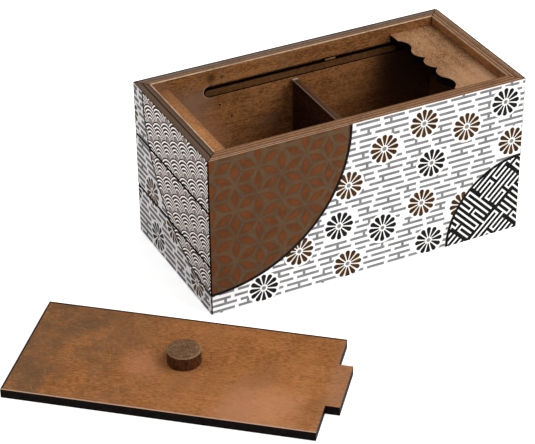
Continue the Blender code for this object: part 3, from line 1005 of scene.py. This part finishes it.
def shelf_marks(look, colour):
    """A painted highlight, paler and pinker, towards its front right corner, and a few dark stains.
    """
    # painted highlight towards the front right corner
    away = look.distance((66 * MM, -28 * MM, 0), "Z")
    away = look.maths("MULTIPLY_ADD", look.noise(110, 4, 0.65), 22 * MM, away)
    colour = look.mix(look.ramp(away, 40 * MM, 16 * MM, 0, 0.6), colour, (0.47, 0.26, 0.145))
    stains = look.ramp(look.noise(150, 5, 0.7), 0.58, 0.68, 0, 0.55)
    return look.mix(stains, colour, (0.12, 0.055, 0.024))


def divider_look():
    """Painted shade on its left face, a worn top edge that is light along the left, and a rubbed
    end.
    """
    node = "divider"
    low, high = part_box(node)
    look = Look("wood_divider", 0.62)
    colour, tone, height = wood(look, "Y", WALL)
    # painted shade on the left face
    shaded, _, _ = wood(look, "Y", DIVIDER_LEFT_SHADE)
    colour = look.mix(look.facing((-1, 0, 0)), colour, shaded)
    across = look.ramp(look.coordinate("X"), low[0], high[0], kind="LINEAR")
    top = look.stripes(
        across,
        (
            (0.00, (0.24, 0.155, 0.11)), (0.12, (0.13, 0.075, 0.048)), (0.24, (0.045, 0.021, 0.011)),
            (0.80, (0.075, 0.036, 0.017)), (1.00, (0.11, 0.052, 0.024)),
        ),
    )
    pale_end = look.ramp(look.coordinate("Y"), high[1] - 1.8 * MM, high[1] - 1.2 * MM, 0, 0.8)
    top = look.mix(pale_end, top, (0.36, 0.33, 0.27))
    glue = look.ramp(look.coordinate("Y"), high[1] - 1.7 * MM, high[1] - 1.2 * MM, 0, 0.8)
    colour = look.mix(glue, colour, (0.095, 0.060, 0.040))
    colour = look.mix(look.facing((0, 0, 1), 0.6), colour, top)
    look.bump(height, BUMP_DEPTH, BUMP_STRENGTH)
    return look.finish(colour, look.ramp(tone, 0, 1, *MATT))


def dress_boards():
    """Every wooden piece but the lid and its knob. Grain runs along the first axis named."""
    outward = {
        "front_outer_board": (0, -1, 0),
        "back_outer_board": (0, 1, 0),
        "right_outer_board": (1, 0, 0),
        "slat_top": (-1, 0, 0),
        "slat_middle": (-1, 0, 0),
        "slat_bottom": (-1, 0, 0),
    }
    for node, direction in outward.items():
        along, through = ("Y", "X") if direction[0] else ("X", "Y")
        dress(node, board_look(node, along, through, WALL, printed=direction))
    plain = (
        ("front_inner_board", "X", "Y", WALL, None),
        ("back_inner_board", "X", "Y", WALL, back_wall_marks),
        ("right_inner_board", "Y", "X", RIGHT_WALL, right_wall_shelf_shadow),
        ("left_inner_board", "Y", "X", WALL, left_wall_groove_shade),
        ("bottom_board", "X", "Z", WALL, None),
        ("left_ledge", "Y", "Z", LEDGE, ledge_marks),
        ("left_partition", "Y", "X", WALL, None),
        ("right_shelf", "Y", "Z", SHELF, shelf_marks),
        ("shelf_cleat_right", "Y", "X", WALL, None),
        ("shelf_cleat_front", "X", "Y", WALL, None),
        ("lock_bar", "X", "Y", BAR_SHADED_WOOD, None),
        ("lock_bar_finger", "X", "Y", SHELF, None),
        ("knob_dowel", "Z", "Z", PALE, None),
    )
    for node, along, through, tones, marks in plain:
        dress(node, board_look(node, along, through, tones, marks=marks))
    for slat in SLATS:
        dress(slat + "_key", board_look(slat + "_key", "Y", "Z", PALE, streak=0.3))
        dress(slat + "_keeper", board_look(slat + "_keeper", "Y", "X", PALE, streak=0.3))
    dress("divider", divider_look())


def lid_look(centre):
    """Mottled walnut: darker patches at the plain end, scratches, and edges burnt black.

    A painted highlight lies beside the knob, and paler places towards the front right corner and on
    the tab.
    """
    look = Look("wood_lid", roughness=0.58, specular=0.03, middle=centre, turn=LID_YAW)
    colour, tone, height = wood(look, "X", LID, streak=0.1)
    x = look.coordinate("X")
    y = look.coordinate("Y")
    clouds = look.ramp(look.noise(36, 6, 0.7), 0.33, 0.62, 0, 1.0)
    clouds = look.maths("MULTIPLY", clouds, look.ramp(x, 20 * MM, -52 * MM, 0.05, 0.9))
    colour = look.mix(clouds, colour, LID_CLOUD)
    pores = look.ramp(look.noise(stretched("X", 700, 1500), 3, 0.6), 0.54, 0.72, 0, 0.4)
    colour = look.mix(pores, colour, LID_PORE)
    for turn in (0.5, -0.7, 1.25):
        lines = look.noise((170, 1500, 400), 3, 0.6, turn)
        colour = look.mix(look.ramp(lines, 0.56, 0.74, 0, 0.17), colour, LID_SCRATCH)
    # painted highlight beside the knob
    knob_highlight = look.distance((-13 * MM, -3 * MM, 0), "Z")
    colour = look.mix(look.ramp(knob_highlight, 13 * MM, 2 * MM, 0, 0.4), colour, LID_KNOB_HIGHLIGHT)
    rosy = look.distance((38 * MM, -22 * MM, 0), "Z")
    rosy = look.maths("MULTIPLY_ADD", look.noise(70, 4, 0.6), 26 * MM, rosy)
    colour = look.mix(look.ramp(rosy, 38 * MM, 20 * MM, 0, 0.45), colour, LID_ROSY)
    at_tab = look.ramp(x, LID_HALF[0] - 4 * MM, LID_HALF[0] + 2 * MM, 0, 0.2)
    colour = look.mix(at_tab, colour, LID_TAB)
    back = look.ramp(y, LID_HALF[1] - 1.2 * MM, LID_HALF[1] - 0.5 * MM)
    plain_end = look.ramp(x, -LID_HALF[0] + 1.0 * MM, -LID_HALF[0] + 0.4 * MM)
    colour = look.mix(look.maths("MAXIMUM", back, plain_end), colour, BURNT[1])
    arris = look.ramp(y, -LID_HALF[1] + 0.9 * MM, -LID_HALF[1] + 0.3 * MM, 0, 0.75)
    colour = look.mix(arris, colour, LID_ARRIS)
    flat = look.maths("ADD", look.facing((0, 0, 1)), look.facing((0, 0, -1)), clamp=True)
    colour = look.mix(flat, burnt(look), colour)
    look.bump(height, BUMP_DEPTH, BUMP_STRENGTH)
    return look.finish(colour, look.ramp(tone, 0, 1, 0.66, 0.50))


def knob_look(centre):
    """Turned wood: speckled end grain on top, darker round the side."""
    look = Look("wood_knob", roughness=0.55, middle=centre)
    top, tone, height = wood(look, "Z", KNOB_TOP)
    side, _, _ = wood(look, "Z", KNOB_SIDE)
    specks = look.ramp(look.noise(1500, 3, 0.6), 0.46, 0.66, 0, 0.5)
    top = look.mix(specks, top, (0.05, 0.023, 0.010))
    rise = look.add("ShaderNodeSeparateXYZ", {0: look.normal}, output="XYZ".index("Z"))
    arris = look.maths("MULTIPLY", look.ramp(rise, 0.2, 0.5), look.ramp(rise, 0.95, 0.85))
    upward = look.ramp(rise, 0.5, 0.9)
    look.bump(height, 0.15 * MM, BUMP_STRENGTH)
    colour = look.mix(upward, side, top)
    colour = look.mix(look.maths("MULTIPLY", arris, 0.4), colour, (0.29, 0.18, 0.11))
    return look.finish(colour, look.ramp(tone, 0, 1, 0.64, 0.46))


def dress_lid():
    mounts = {mount["name"]: mount["pos_m"] for mount in frame["record"]["mounts"]}
    dress("lid_board", lid_look(mounts["lid_face"]))
    low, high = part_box("lid_knob")
    dress("lid_knob", knob_look(((low[0] + high[0]) / 2, (low[1] + high[1]) / 2, 0)))


# ---------------------------------------------------------------- the studio

def new_mesh_object(name, points, faces, material):
    mesh = bpy.data.meshes.new(name)
    mesh.from_pydata(points, [], faces)
    mesh.materials.append(material)
    piece = bpy.data.objects.new(name, mesh)
    bpy.context.scene.collection.objects.link(piece)
    return piece


def make_floor():
    look = Look("floor", roughness=0.9, specular=0.1)
    colour = look.mix(look.noise(3, 2, 0.5), (0.90, 0.90, 0.90), (0.92, 0.92, 0.92))
    look.shader.inputs["Emission Color"].default_value = (1, 1, 1, 1)
    look.shader.inputs["Emission Strength"].default_value = FLOOR_GLOW
    sides = ((-1, -1), (1, -1), (1, 1), (-1, 1))
    corners = [(x * FLOOR_HALF, y * FLOOR_HALF, -FLOOR_DROP) for x, y in sides]
    new_mesh_object("floor", corners, [(0, 1, 2, 3)], look.finish(colour))


def make_light():
    scene = bpy.context.scene
    scene.view_settings.view_transform = "Standard"
    world = bpy.data.worlds.new("studio")
    world.use_nodes = True
    background = world.node_tree.nodes["Background"]
    background.inputs["Color"].default_value = (1, 1, 1, 1)
    background.inputs["Strength"].default_value = SKY
    scene.world = world
    key = bpy.data.lights.new("key", "SUN")
    key.energy = KEY_STRENGTH
    key.angle = KEY_SPREAD
    lamp = bpy.data.objects.new("key", key)
    lamp.rotation_euler = Vector(KEY_FROM).to_track_quat("Z", "Y").to_euler()
    scene.collection.objects.link(lamp)


def make_camera():
    level = math.cos(ELEVATION)
    back = Vector((math.sin(AZIMUTH) * level, -math.cos(AZIMUTH) * level, math.sin(ELEVATION)))
    right = Vector((0, 0, 1)).cross(back).normalized()
    up = back.cross(right)
    turned_right = math.cos(ROLL) * right + math.sin(ROLL) * up
    turned_up = math.cos(ROLL) * up - math.sin(ROLL) * right
    camera = bpy.data.cameras.new("camera")
    camera.lens = LENS_MM
    holder = bpy.data.objects.new("camera", camera)
    turn = Matrix((turned_right, turned_up, back)).transposed().to_4x4()
    place = AIM_RIGHT * turned_right + AIM_UP * turned_up + DISTANCE * back
    holder.matrix_world = Matrix.Translation(place) @ turn
    bpy.context.scene.collection.objects.link(holder)
    bpy.context.scene.camera = holder


make_camera()
make_light()
make_floor()
dress_boards()
dress_lid()
make_print()
